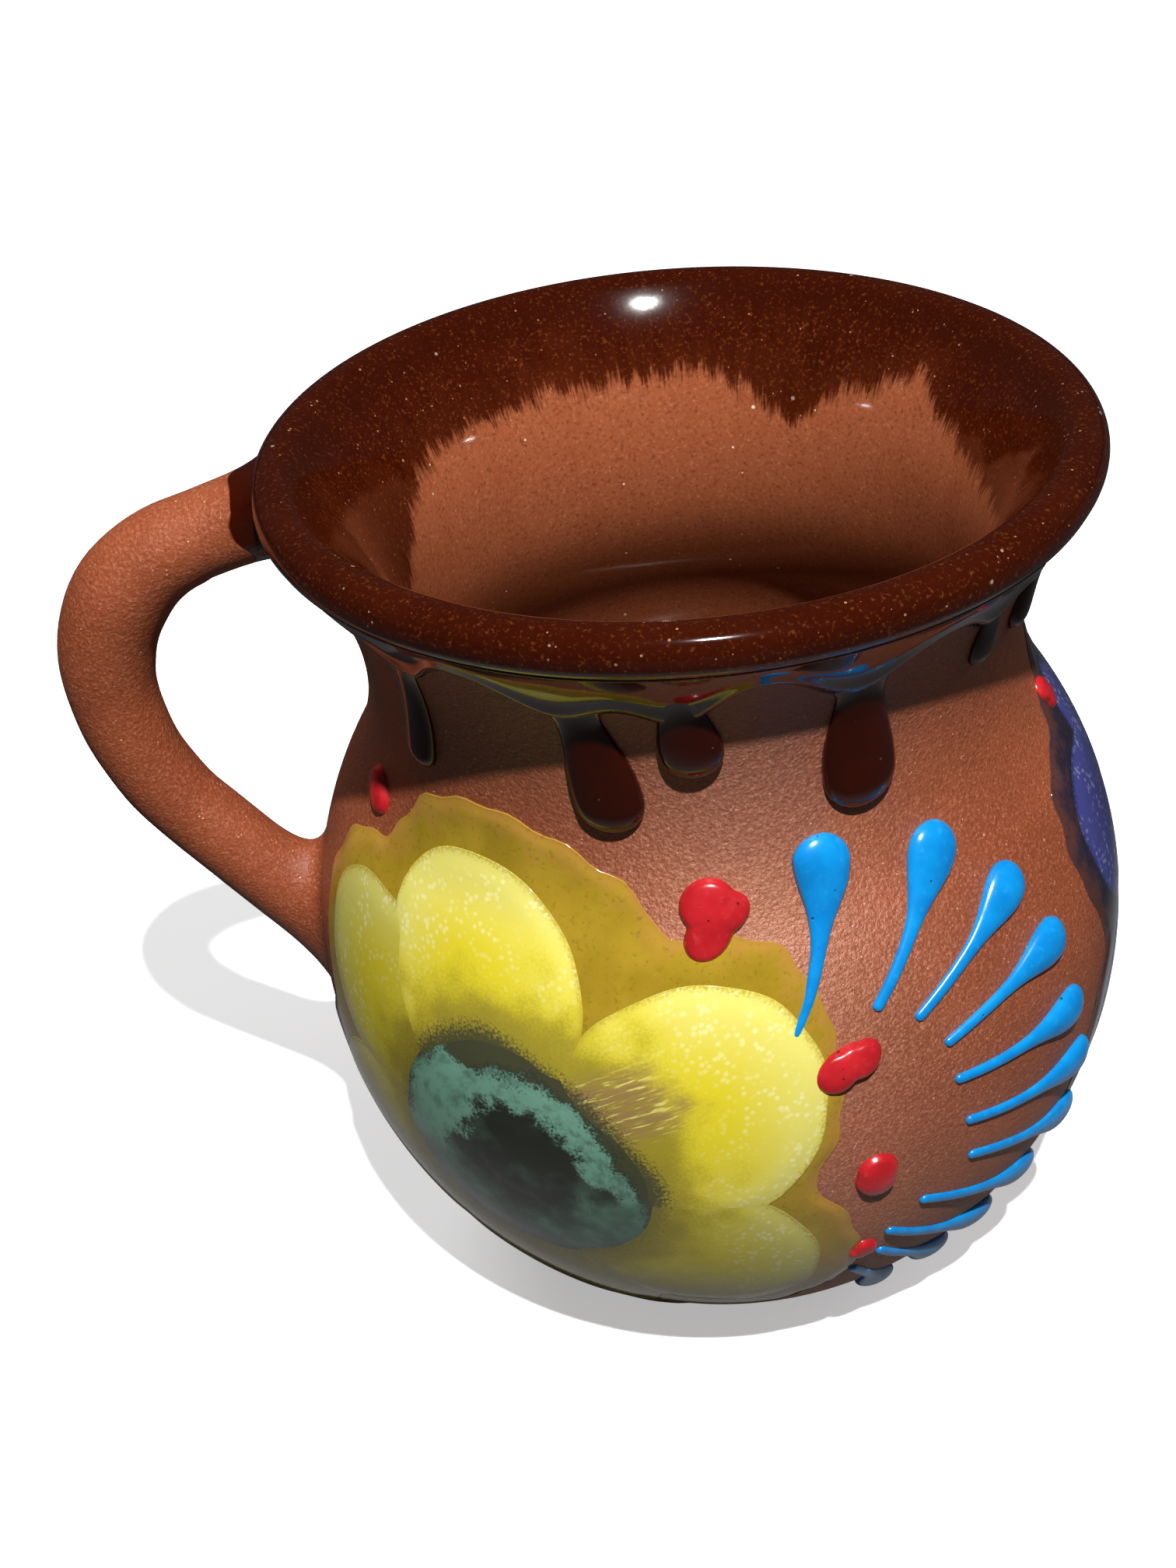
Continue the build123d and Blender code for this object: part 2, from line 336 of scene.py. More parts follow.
def blend(factor, low, high):
    """Mixes two colours, whose inputs come after five for mixing other kinds of value."""
    values = (factor, *[None] * 5, low, high)
    return put(factor, "Mix", {"data_type": "RGBA"}, args=values).outputs[2]


def ramp(value, low, high, start=0.0, end=1.0):
    """Eases from start to end as value goes from low to high."""
    limits = (value, low, high, start, end)
    return put(value, "MapRange", {"interpolation_type": "SMOOTHSTEP"}, args=limits).outputs[0]


def tint(colour, over, value, low, high, most=1.0):
    """Lays one colour over another, from none of it to most as value goes from low to high."""
    return blend(ramp(value, low, high, 0.0, most), colour, over)


def stir(value, wave, size):
    """A value moved up and down by a noise, by at most size."""
    return sum_of(value, ramp(wave, 0.25, 0.75, -size, size))


def millimetres(near):
    """Place on the object in millimetres."""
    place = put(near, "TexCoord").outputs["Object"]
    return put(near, "Mapping", Vector=place, Scale=(1 / MM,) * 3).outputs[0]


def painted(near, stretch=(1, 1), key="paint"):
    """Place on the painted surface, in millimetres on the map "paint"."""
    place = put(near, "UVMap", {"uv_map": key}).outputs[0]
    return put(near, "Mapping", Vector=place, Scale=(*stretch, 1)).outputs[0]


def axes_of(place):
    """The three coordinates of a place."""
    return list(put(place, "SeparateXYZ", Vector=place).outputs)


def noise(place, size, detail=3.0, rough=0.55):
    """Noise from 0 to 1 with patches of about the given size in millimetres."""
    made = put(place, "TexNoise", Vector=place, Scale=1 / size, Detail=detail, Roughness=rough)
    return made.outputs[0]


def cells(place, size):
    """Distance to the nearest of the points scattered about one per size, as a share of size."""
    return put(place, "TexVoronoi", Vector=place, Scale=1 / size).outputs["Distance"]


def spots(place, size, radius):
    """1 inside round specks scattered about one per size, each at most radius in radius, else 0."""
    uneven = noise(place, size * 1.7, 1.0)
    limit = ramp(uneven, 0.42, 0.75, 0.0, radius / size)
    inside = reckon("SUBTRACT", limit, cells(place, size))
    return ramp(inside, 0.0, 0.12 * radius / size)


def finish_of(name, **inputs):
    """A new material and its principled shader, with inputs set by name."""
    material = bpy.data.materials.new(name)
    material.use_nodes = True
    shader = material.node_tree.nodes["Principled BSDF"]
    for key, value in inputs.items():
        shader.inputs[key.replace("_", " ")].default_value = value
    return material, shader


def feed(shader, name, value):
    """Links a socket to an input of a shader."""
    shader.id_data.links.new(value, shader.inputs[name])


def bump(shader, height, strength, distance, over=None, invert=False):
    """Bumps the surface by a height field, on top of an earlier bump if given."""
    made = put(shader, "Bump", {"invert": invert}, Strength=strength, Distance=distance * MM,
               Height=height, Normal=over)
    feed(shader, "Normal", made.outputs[0])
    return made.outputs[0]


CLAY = (0.258, 0.062, 0.024)
CLAY_DARK = (0.200, 0.046, 0.017)
CLAY_PALE = (0.415, 0.145, 0.074)
CLAY_PIT = (0.13, 0.030, 0.013)
# Pale mica specks, partly painted glints
MICA_AND_GLINT = (0.80, 0.46, 0.30)
CLAY_TINT = (1.0, 0.80, 0.64, 1.0)


def clay_shading(shader, glaze=None):
    """Fine-grained fired clay; glaze, where it is 1, is a smooth brown coat over the clay."""
    place = millimetres(shader)
    cloud = noise(place, 16.0, 3.0)
    grain = noise(place, 0.34, 3.0, 0.6)
    pits = noise(place, 0.75, 2.0)
    colour = tint(CLAY_DARK, CLAY, cloud, 0.3, 0.7)
    colour = tint(colour, CLAY_PALE, grain, 0.48, 0.75, 0.65)
    colour = tint(colour, CLAY_PIT, grain, 0.46, 0.25, 0.60)
    # Pale mica specks, partly painted glints
    mica_and_glints = spots(place, 0.60, 0.12)
    colour = blend(product(mica_and_glints, 0.6), colour, MICA_AND_GLINT)
    rough = ramp(grain, 0.3, 0.7, 0.40, 0.54)
    shine = product(mica_and_glints, 0.2)
    rough = reckon("SUBTRACT", rough, shine)
    if glaze is not None:
        colour = blend(glaze, colour, BROWN)
        rough = product(rough, ramp(glaze, 0.0, 1.0, 1.0, 0.2))
        grain = product(grain, ramp(glaze, 0.0, 1.0, 1.0, 0.1))
    feed(shader, "Base Color", colour)
    feed(shader, "Roughness", rough)
    first = bump(shader, grain, 0.80, 0.16)
    second = bump(shader, pits, 0.50, 0.20, first)
    bump(shader, noise(place, 6.0, 2.0), 0.12, 0.25, second)


def clay_material():
    """Clay of the pot, with the sheen of a surface wiped round on the wheel."""
    material, shader = finish_of("fired_clay", IOR=1.62, Specular_IOR_Level=1.0, Anisotropic=0.75,
                                 Anisotropic_Rotation=0.25, Specular_Tint=CLAY_TINT)
    wiped = put(shader, "Tangent", {"direction_type": "RADIAL", "axis": "Z"})
    feed(shader, "Tangent", wiped.outputs[0])
    clay_shading(shader)
    return material


def handle_material():
    """Clay with brown glaze that ran a little way on to the handle from the rim."""
    material, shader = finish_of("handle_clay", Specular_IOR_Level=0.30)
    place = millimetres(shader)
    across, aside, height = axes_of(place)
    lobes = ramp(noise(place, 5.0, 1.0), 0.3, 0.7, -0.7, 0.7)
    above = ramp(height, 91.0, 96.0, 0.0, 2.2)
    bulge = product(above, ramp(aside, 4.0, 0.5))
    near = ramp(sum_of(sum_of(across, lobes), bulge), -42.9, -42.6)
    high = ramp(sum_of(height, lobes), 89.4, 89.9)
    clay_shading(shader, product(near, high))
    return material


BROWN = (0.028, 0.0028, 0.0006)
BROWN_THICK = (0.022, 0.0026, 0.0006)
BROWN_THIN = (0.058, 0.0086, 0.0019)
CLEAR = (0.228, 0.057, 0.021)
CLEAR_PALE = (0.285, 0.082, 0.034)
CLEAR_VEIL = (0.22, 0.052, 0.020)
CLEAR_DARK_GRAIN = (0.090, 0.020, 0.007)
# Pale grains in the clear glaze, partly painted glints
CLEAR_GRAIN_AND_GLINT = (0.42, 0.17, 0.09)
# Clear glaze darkened by painted shade low inside, and by thicker glaze at the bottom
CLEAR_POOL_AND_SHADE = (0.070, 0.014, 0.004)
BROWN_BUBBLE = (0.22, 0.09, 0.04)
BROWN_GRAIN = (0.105, 0.020, 0.004)
GOLDEN_GRAIN = (0.140, 0.038, 0.006)
SPECK = (0.42, 0.20, 0.11)
DUST = (0.74, 0.60, 0.50)
GLOSS = {"Roughness": 0.07, "IOR": 1.45}


def brown_material():
    """Brown glaze of the runs, almost black where it is thick."""
    material, shader = finish_of("brown_glaze", **GLOSS)
    place = millimetres(shader)
    cloud = noise(place, 5.0, 2.0)
    colour = tint(BROWN_THICK, BROWN, cloud, 0.35, 0.75)
    bubbles = spots(place, 1.6, 0.2)
    colour = blend(product(bubbles, 0.35), colour, BROWN_BUBBLE)
    feed(shader, "Base Color", colour)
    bump(shader, noise(place, 6.0, 2.0), 0.06, 0.3)
    return material


def brown_coat(place, level, grains):
    """Colour of the brown rim glaze: streaked and clouded, thin at its edge and thick on the lip."""
    streaks = noise(painted(place, (1.0, 0.12)), 1.1, 4.0)
    colour = tint(BROWN, BROWN_THIN, streaks, 0.35, 0.75, 0.28)
    colour = blend(ramp(level, 1.0, 5.0, 0.5, 0.0), colour, BROWN_THIN)
    clouds = noise(place, 9.0, 3.0, 0.6)
    colour = tint(colour, BROWN_THIN, clouds, 0.46, 0.68, 0.40)
    colour = tint(colour, BROWN_GRAIN, grains, 0.50, 0.72, 0.52)
    crest = dot(place, (-RIM_TILT[0], -RIM_TILT[1], 1.0))
    colour = tint(colour, BROWN_THICK, crest, HEIGHT - 4.5, HEIGHT - 1.5, 0.70)
    return tint(colour, GOLDEN_GRAIN, grains, 0.56, 0.74, 0.50)


def clear_coat(place, height, grains):
    """Colour of the clay under clear glaze, with painted shade in a band below the neck, and darker
    towards the bottom, from painted shade and thicker glaze there.
    """
    colour = blend(noise(place, 1.2, 4.0, 0.7), CLEAR, CLEAR_PALE)
    veils = noise(painted(place, (1.0, 0.15)), 7.0, 2.0)
    colour = tint(colour, CLEAR_VEIL, veils, 0.45, 0.7, 0.35)
    colour = tint(colour, CLEAR_DARK_GRAIN, grains, 0.48, 0.28, 0.66)
    # Pale grains, partly painted glints
    colour = tint(colour, CLEAR_GRAIN_AND_GLINT, grains, 0.55, 0.76, 0.58)
    # Painted shade in a band just below the neck, inside the mug
    shaded_band = product(ramp(height, 76.0, 66.0), ramp(height, 57.0, 64.0))
    colour = blend(product(shaded_band, 0.62), colour, CLEAR_POOL_AND_SHADE)
    # Darker towards the bottom: painted shade of the deep inside, and thicker glaze there
    return tint(colour, CLEAR_POOL_AND_SHADE, height, 66.0, 18.0, 0.85)


def coat_material():
    """Brown glaze over the rim that fades, in fine hairs, into clear glaze on the clay inside.

    The painted map holds the arc round the mug and the height above the edge of the brown.
    """
    material, shader = finish_of("rim_and_liner_glaze", **GLOSS)
    place = millimetres(shader)
    height = axes_of(place)[2]
    above = axes_of(painted(shader))[1]
    hairs = noise(painted(shader, (1.0, 0.12)), 0.32, 3.0, 0.6)
    tufts = noise(painted(shader, (1.0, 0.3)), 2.4, 2.0)
    ragged = sum_of(ramp(hairs, 0.25, 0.8, -1.1, 1.1), ramp(tufts, 0.3, 0.7, -0.9, 0.9))
    level = sum_of(above, ragged)
    brown = ramp(level, -0.8, 1.4)
    grains = noise(place, 0.40, 3.0, 0.6)
    pale = clear_coat(place, height, grains)
    dark = brown_coat(place, level, grains)
    colour = blend(brown, pale, dark)
    colour = blend(product(spots(place, 0.85, 0.15), 0.60), colour, SPECK)
    dust = product(spots(place, 2.1, 0.24), ramp(brown, 0.0, 1.0, 0.75, 0.25))
    colour = blend(dust, colour, DUST)
    feed(shader, "Base Color", colour)
    feed(shader, "Roughness", ramp(height, 55.0, 22.0, 0.07, 0.20))
    feed(shader, "Specular IOR Level", ramp(height, 50.0, 22.0, 0.5, 0.06))
    first = bump(shader, noise(place, 7.0, 2.0), 0.08, 0.35)
    bump(shader, noise(place, 1.2, 2.0), 0.03, 0.10, first)
    return material


def enamel_material(name, colour, deep, pale):
    """Thick opaque trailed glaze with pinholes."""
    material, shader = finish_of(name, Roughness=0.24, IOR=1.55)
    place = millimetres(shader)
    mixed = tint(deep, colour, noise(place, 3.0, 2.0), 0.3, 0.7)
    mixed = tint(mixed, pale, noise(place, 0.9, 2.0), 0.55, 0.8, 0.35)
    holes = spots(place, 1.1, 0.19)
    mixed = blend(product(holes, 0.85), mixed, times(0.2, deep))
    feed(shader, "Base Color", mixed)
    first = bump(shader, noise(place, 1.8, 2.0), 0.12, 0.2)
    bump(shader, holes, 0.6, 0.15, first, invert=True)
    return material


def halo_material(name, thick, thin, bare):
    """Glaze that spread round a flower, thinnest at its edge, where the clay shows through."""
    material, shader = finish_of(name, **GLOSS)
    place = millimetres(shader)
    rim = reach_of(painted(shader, key="disc"))
    cloud = noise(place, 6.0, 3.0)
    mixed = tint(thick, thin, cloud, 0.3, 0.7)
    uneven = sum_of(rim, ramp(noise(place, 2.5, 3.0), 0.2, 0.8, -0.05, 0.05))
    mixed = tint(mixed, bare, uneven, 0.90, 1.01, 0.75)
    grains = noise(place, 0.55, 3.0)
    mixed = tint(mixed, bare, grains, 0.50, 0.75, 0.30)
    mixed = tint(mixed, times(0.5, thick), grains, 0.45, 0.25, 0.45)
    feed(shader, "Base Color", mixed)
    first = bump(shader, noise(place, 5.0, 2.0), 0.08, 0.3)
    bump(shader, grains, 0.12, 0.12, first)
    return material


BUBBLE = 0.74


def petal_material(name, body, base, tip, stain, edge,
                   dent=(1.0, 0.0), deep=0.0, soot=0.35, scored=None):
    """Sprayed petal: stained at the heart, clear in the middle, bubbled and pale towards its edge.

    The painted map holds millimetres along the petal from the heart's centre, and across it; the
    disc map runs from 0 in the petal's middle to 1 at its edge. The stain, as strong as soot, is drawn
    in by deep in the direction dent; scored is the colour of brush marks at the petal's foot.
    """
    material, shader = finish_of(name, **GLOSS)
    place = painted(shader)
    reach = reach_of(place)
    rim = reach_of(painted(shader, key="disc"))
    cloud = noise(place, 7.0, 2.0)
    grit = noise(place, 0.34, 3.0, 0.65)
    powder = ramp(grit, 0.25, 0.75, -1.1, 1.1)
    uneven = stir(reach, cloud, 2.4)
    dusted = sum_of(uneven, powder)
    mixed = tint(base, body, dusted, 14.5, 23.0)
    outer = ramp(dusted, 17.5, 28.0)
    veil = product(ramp(rim, 0.20, 0.95, 0.0, 0.65), outer)
    mixed = blend(veil, mixed, tip)
    bubbles = ramp(cells(place, BUBBLE), 0.48, 0.18)
    crowd = product(ramp(cloud, 0.40, 0.56), ramp(rim, 0.05, 0.70, 0.15, 0.62))
    dotted = product(bubbles, product(crowd, outer))
    mixed = blend(dotted, mixed, tuple(0.20 + 0.80 * part for part in tip))
    if scored is not None:
        streaked = noise(painted(shader, (0.13, 1.0)), 0.42, 2.0, 0.6)
        aside = axes_of(place)[1]
        window = product(ramp(uneven, 22.0, 17.5), ramp(aside, -2.0, 1.5))
        window = product(window, ramp(aside, 9.0, 6.0))
        marks = ramp(streaked, 0.62, 0.40, 0.25, 0.80)
        mixed = blend(product(marks, window), mixed, scored)
        scratches = ramp(streaked, 0.56, 0.66, 0.0, 0.75)
        mixed = blend(product(scratches, window), mixed, tip)
    facing = dot(unit_of(place), (*dent, 0.0))
    drawn_in = ramp(facing, 0.55, 1.0, 0.0, deep)
    sooty = sum_of(sum_of(reach, powder), drawn_in)
    mixed = blend(ramp(sooty, 14.4, 16.4, soot, 0.0), mixed, stain)
    border = sum_of(rim, ramp(grit, 0.2, 0.8, -0.04, 0.04))
    mixed = tint(mixed, edge, border, 0.94, 1.02, 0.80)
    feed(shader, "Base Color", mixed)
    first = bump(shader, grit, 0.05, 0.10)
    bump(shader, noise(place, 5.0, 2.0), 0.06, 0.3, first)
    return material


def heart_material(name, ring, dark, stain):
    """Brushed teal band over a dark eye: broad above, thin at the right, a wash elsewhere."""
    material, shader = finish_of(name, **GLOSS)
    place = painted(shader)
    reach = reach_of(place)
    across, up = axes_of(unit_of(place))[:2]
    wound = put(shader, "CombineXYZ", X=across, Y=up, Z=product(reach, 0.16)).outputs[0]
    smear = noise(wound, 0.22, 3.0, 0.6)
    grit = noise(place, 0.34, 3.0, 0.65)
    cloud = noise(place, 5.0, 2.0)
    uneven = stir(reach, smear, 0.7)
    uneven = stir(uneven, grit, 0.7)
    uneven = stir(uneven, cloud, 0.8)
    low = ramp(up, -0.10, -0.55)
    left = ramp(across, -0.40, -0.85)
    sides = reckon("MAXIMUM", low, left)
    within = reckon("SUBTRACT", uneven, ramp(up, 0.05, -0.30, 0.0, 3.6))
    beyond = reckon("SUBTRACT", uneven, ramp(across, -0.35, -0.75, 0.0, 3.6))
    beyond = reckon("SUBTRACT", beyond, ramp(up, 0.20, -0.55, 0.0, 4.0))
    band = product(ramp(within, 6.4, 7.8), ramp(beyond, 9.6, 10.8, 1.0, 0.0))
    band = product(band, ramp(up, -0.45, -0.15))
    band = product(band, ramp(smear, 0.30, 0.58, 0.45, 1.0))
    wash = product(sides, ramp(uneven, 5.5, 11.5, 0.0, 0.55))
    wash = product(wash, ramp(cloud, 0.30, 0.65, 0.35, 1.0))
    mixed = blend(wash, dark, ring)
    mixed = tint(mixed, ring, cloud, 0.50, 0.75, 0.15)
    mixed = blend(band, mixed, ring)
    mixed = tint(mixed, stain, beyond, 10.2, 11.4, 0.95)
    feed(shader, "Base Color", mixed)
    bump(shader, noise(place, 5.0, 2.0), 0.06, 0.3)
    return material


# Pot

# Rings of the flat underside and of the flat floor inside, as radius, height and normal
BASE_RINGS = np.array([[4.0, 0, 0, -1], [12.0, 0, 0, -1], [20.0, 0, 0, -1]])
FLOOR_RINGS = np.array([[20.0, FLOOR, 0, 1], [10.0, FLOOR, 0, 1], [3.0, FLOOR, 0, 1]])
FOOT_EDGE_END = -0.7


def pot():
    """The thrown pot, from its underside over the lip to its floor, turned round the axis."""
    edge_middle = (FOOT_RADIUS - FOOT_EDGE, FOOT_EDGE)
    edge = arc(edge_middle, FOOT_EDGE, -math.pi / 2, FOOT_EDGE_END, 1)
    line = np.concatenate([BASE_RINGS, edge, outer_wall, lip_cap[1:-1], inner_wall, FLOOR_RINGS])
    turn = np.radians(AZIMUTHS)
    radius = line[:, 0][:, None]
    height = line[:, 1][:, None] + np.zeros(TURNS)
    rings = np.stack([radius * np.cos(turn), radius * np.sin(turn), height], -1)
    return ring_mesh("pot", rings)


# Handle

def handle_path():
    """Centre line of the handle in its upright plane: distance from the axis, and height."""
    middle = wall_side(0)
    reach = np.interp(HANDLE_HEIGHTS, middle[:, 1], middle[:, 0])
    reach[1:3] = HANDLE_REACH
    corners = np.stack([reach, HANDLE_HEIGHTS], 1)
    path = [corners[0]]
    for before, corner, after, radius in zip(corners, corners[1:], corners[2:], BEND_RADII):
        back, ahead = unit(before - corner), unit(after - corner)
        half = math.acos(np.clip(back @ ahead, -1, 1)) / 2
        centre = corner + unit(back + ahead) * radius / math.sin(half)
        start = corner + back * radius / math.tan(half) - centre
        sweep = math.pi - 2 * half
        for step in np.linspace(0, 1, BEND_STEPS):
            path.append(centre + spun(*start, -sweep * step))
    path.append(corners[3])
    return np.array(path)


def hit_wall(start, direction):
    """Point where a line from outside first meets the outer face of the pot."""
    farthest, count = 40.0, 1600
    steps = np.linspace(0, farthest, count)
    points = start + steps[:, None] * direction
    inside = np.hypot(points[:, 0], points[:, 1]) < outer_radius(np.clip(points[:, 2], 1, HEIGHT))
    return points[np.argmax(inside)]


def root_rings(centre, direction, side, back, spread, droop=0.0):
    """Rings that leave the coil's end and spread out tangent to the wall, further below with droop."""
    up = np.cross(direction, side)
    middle = hit_wall(centre, direction)
    highest = LIP_HEIGHT + 1.4
    columns = []
    for turn in COIL_TURNS:
        start = centre + HANDLE_RADIUS * (math.cos(turn) * up + math.sin(turn) * side)
        meet = hit_wall(start, direction)
        away = unit(meet - middle)
        lower = 1 + droop * max(-away[2], 0)
        narrow = 1 - ROOT_NARROWING * abs(away[1])
        foot = meet + spread * lower * narrow * away
        foot[2] = min(foot[2], highest)
        flat = np.hypot(foot[0], foot[1])
        foot[:2] *= (outer_radius(foot[2]) - ROOT_SINK) / flat
        leave = meet - back * min(lower, 1.35) * direction
        share = np.linspace(0, 1, ROOT_ROWS)[:, None]
        columns.append((1 - share) ** 2 * leave + 2 * share * (1 - share) * meet + share ** 2 * foot)
    return np.stack(columns, 1)


def handle():
    """The coil and its two roots, as one skin."""
    path = handle_path()
    steps = np.concatenate([[0], np.cumsum(np.linalg.norm(np.diff(path, axis=0), axis=1))])
    length = np.arange(UPPER_ROOT_LENGTH, steps[-1] - LOWER_ROOT_LENGTH, COIL_STEP)
    flat = np.stack([np.interp(length, steps, path[:, column]) for column in (0, 1)], 1)
    centre = np.stack([-flat[:, 0], np.zeros(len(flat)), flat[:, 1]], 1)
    ahead = np.gradient(centre, axis=0)
    ahead /= np.linalg.norm(ahead, axis=1)[:, None]
    side = np.array([0.0, 1.0, 0.0])
    over, beside = np.cos(COIL_TURNS)[:, None], np.sin(COIL_TURNS)[:, None]
    rings = []
    for number, (point, way) in enumerate(zip(centre, ahead)):
        up = np.cross(way, side)
        share = number / (len(centre) - 1)
        thick = HANDLE_RADIUS + SWELL * math.exp(-((share - SWELL_MIDDLE) / SWELL_WIDTH) ** 2)
        radius = thick + 0.05 * math.sin(number * 0.31) + 0.03 * math.sin(number * 0.83 + 1.0)
        rings.append(point + radius * (over * up + beside * side))
    lower = root_rings(centre[-1], ahead[-1], side, LOWER_ROOT_BACK, LOWER_ROOT_SPREAD)
    upper = root_rings(centre[0], -ahead[0], side, UPPER_ROOT_BACK, UPPER_ROOT_SPREAD, UPPER_ROOT_DROOP)
    upper = np.roll(upper[:, ::-1], COIL_COLUMNS // 2 + 1, axis=1)[::-1]
    return ring_mesh("handle_loop", np.concatenate([upper, np.array(rings), lower]))


# Brown glaze over the rim and clear glaze inside

# A run: azimuth of its bead and of its top, height of its bead's centre and radius of its bead
RUNS = (
    (-142.0, -135.0, 78.6, 2.2), (-105.0, -109.0, 78.9, 3.4), (-91.5, -93.5, 84.6, 3.0),
    (-65.3, -67.0, 78.6, 3.8), (-40.5, -42.0, 85.4, 1.9), (-26.5, -28.0, 85.0, 2.2),
    (4.0, 3.0, 79.8, 3.5), (32.0, 34.0, 87.5, 2.6), (54.0, 53.0, 79.0, 3.8),
    (94.0, 95.0, 85.1, 2.4), (132.0, 130.0, 81.0, 3.4),
)
# Dips of the brown glaze's edge inside: azimuth, depth and width in degrees
EDGE_DIPS = ((65, 4.6, 9), (172, 9.5, 15), (6, 2.2, 15), (37, -2.6, 8), (-45, 4.0, 10),
             (-95, 5.5, 13), (-140, 2.5, 9), (-70, -2.0, 8), (-160, 3.0, 8))
INNER_EDGE = 90.0
OUTER_EDGE = 92.6
COAT_THICKNESS = 0.35

# Height written on the painted map where the glaze is brown all over
ALL_BROWN = 40.0
BROWN_LIP_RINGS = 20


def brown_edge(angle):
    """Height of the brown glaze's lower edge inside the mug."""
    edge = INNER_EDGE + ripple(angle, 7, (5, 9, 14, 23), 0.9)
    for centre, depth, width in EDGE_DIPS:
        edge = edge - depth * hump(angle, centre, width)
    return edge


def coat_edge(angle):
    """Height of the glaze's lower edge outside."""
    edge = OUTER_EDGE + ripple(angle, 3, (4, 7, 11, 17, 26), 1.4)
    for _, top_angle, _, radius in RUNS:
        edge = edge - (2.2 + 0.7 * radius) * hump(angle, top_angle, 3.5 + 1.1 * radius)
    return edge


def coat_thickness(depth):
    """Thickness of the coat outside at a depth in from its edge, with a rounded bead along the edge."""
    bead_along = 0.25 * smooth(0, 1.2, depth) * smooth(4.0, 1.0, depth)
    return 0.15 + 0.3 * smooth(0, 1.6, depth) + bead_along


def glaze_coat():
    """The coat of glaze from its ragged edge outside, over the lip and down to the floor inside."""
    angle = AZIMUTHS
    start = length_at(coat_edge(angle))
    beyond = Profile(np.concatenate([lip_cap, inner_wall[1:], FLOOR_RINGS]))
    arc_length = np.radians(angle) * LIP_RADIUS
    rings, marks = [], []

    def add(place, out):
        rings.append(place)
        above = np.where(out, ALL_BROWN, place[:, 2] - brown_edge(angle))
        marks.append(np.stack([arc_length, above], 1))

    for length in beyond.length[::-1]:
        add(beyond.place(np.full(TURNS, length), angle, -SINK), False)
    shares = np.concatenate([[0.0], np.linspace(0, 1, 30) ** 1.4])
    for share in shares[::-1]:
        add(outside.place(start + (lip_start - start) * share, angle, -SINK), True)
    for number, share in enumerate(shares):
        length = start + (lip_start - start) * share
        thick = coat_thickness(length - start)
        add(outside.place(length, angle, np.where(number == 0, -0.25, thick)), True)
    for length in beyond.length:
        on_lip = length < beyond.length[BROWN_LIP_RINGS]
        add(beyond.place(np.full(TURNS, length), angle, COAT_THICKNESS), on_lip)
    return ring_mesh("rim_and_liner", rings, paint=marks)


# Beads of glaze: runs, drops and dots

BEAD_ROWS = 48
BEAD_COLUMNS = 28


def bead(name, start, end, width, rise, bow=0.0):
    """A domed trail on the outside from one (azimuth, height) to another, bowed sideways by bow.

    width(share along) is its half width and rise(share along) its height, arrays in and out.
    """
    turn0, turn1 = np.radians([start[0], end[0]])
    length0, length1 = length_at([start[1], end[1]])
    middle_radius = outside.at((length0 + length1) / 2)[0]
    span = np.array([(turn1 - turn0) * middle_radius, length1 - length0])
    whole = np.linalg.norm(span)
    way = span / whole
    back, on = width(np.array([0.0, 1.0]))
    ease = (1 - np.cos(np.linspace(0.03, math.pi - 0.03, BEAD_ROWS))) / 2
    along = -back + ease * (whole + back + on)
    share = np.clip(along / whole, 0, 1)
    cap = np.where(along < 0, along / back, np.where(along > whole, (along - whole) / on, 0))
    shrink = np.sqrt(np.maximum(1 - cap ** 2, 0.0009))
    half, tall = width(share) * shrink, rise(share) * shrink
    turn = np.linspace(0, math.pi, BEAD_COLUMNS // 2 + 1)
    across = np.concatenate([np.cos(turn), np.cos(turn[1:-1])[::-1]])
    dome = np.concatenate([np.sin(turn) ** 0.85, np.full(len(turn) - 2, -1.0)])
    rings, marks = [], []
    for here, part, wide, high in zip(along, share, half, tall):
        aside = across * wide + bow * 4 * part * (1 - part)
        length = length0 + way[1] * here + way[0] * aside
        radius = outside.at(length)[0]
        out = np.where(dome < 0.02, -SINK, dome * high)
        angle = np.degrees(turn0 + (way[0] * here - way[1] * aside) / radius)
        rings.append(outside.place(length, angle, out))
        marks.append(np.stack([np.full(len(dome), here), across * wide], 1))
    return ring_mesh(name, rings, paint=marks)


RUN_TOP = 94.5


def glaze_runs(material):
    """The runs below the rim, each a bead that thins upwards and widens into the coat at its top."""
    for number, (angle, top_angle, height, radius) in enumerate(RUNS, 1):
        waist = 0.55 * radius + 0.4

        def width(share):
            neck = radius + (waist - radius) * smooth(0.05, 0.6, share)
            return neck + 1.5 * waist * smooth(0.55, 1.0, share)

        def rise(share):
            return 0.55 * radius + (0.35 - 0.55 * radius) * smooth(0.0, 0.85, share)

        piece = bead(f"glaze_run_{number:02d}_bead", (angle, height), (top_angle, RUN_TOP), width, rise)
        fit(piece, material, "brown_glaze", f"glaze_run_{number:02d}")


# Flowers with their drops and dots

FLOWERS = {"yellow": -119.0, "blue": 18.0}
# A petal: direction and distance of its middle from the heart, half its length and half its width
PETALS = (
    (25.0, 20.0, 13.4, 13.8), (106.0, 19.2, 13.6, 12.1), (321.0, 21.0, 13.0, 13.0),
    (148.0, 21.8, 13.0, 10.6), (266.0, 20.0, 13.2, 12.6), (208.0, 21.5, 13.4, 13.4),
)
HALO_MARGINS = (1.5, 5.0, 4.2, 3.4, 4.0, 4.0)
HEART_RADIUS = 15.4
HEART_NOTCH = 3.0
EYE_RADIUS = 8.6

# Heights of the layers above the clay, and the widths of their soft borders
HALO_HEIGHT, HALO_EDGE, HALO_SOFT = 0.34, 0.10, 1.4
RELIEF, RELIEF_STEP = 0.56, 0.02
PETAL_EDGE, PETAL_SOFT, PETAL_DIP = 0.36, 2.5, 0.13
HEART_HEIGHT, HEART_EDGE = RELIEF + 0.05, RELIEF - 0.20
EYE_HEIGHT, EYE_EDGE = RELIEF + 0.10, RELIEF - 0.10
HEART_SOFT = 5.0


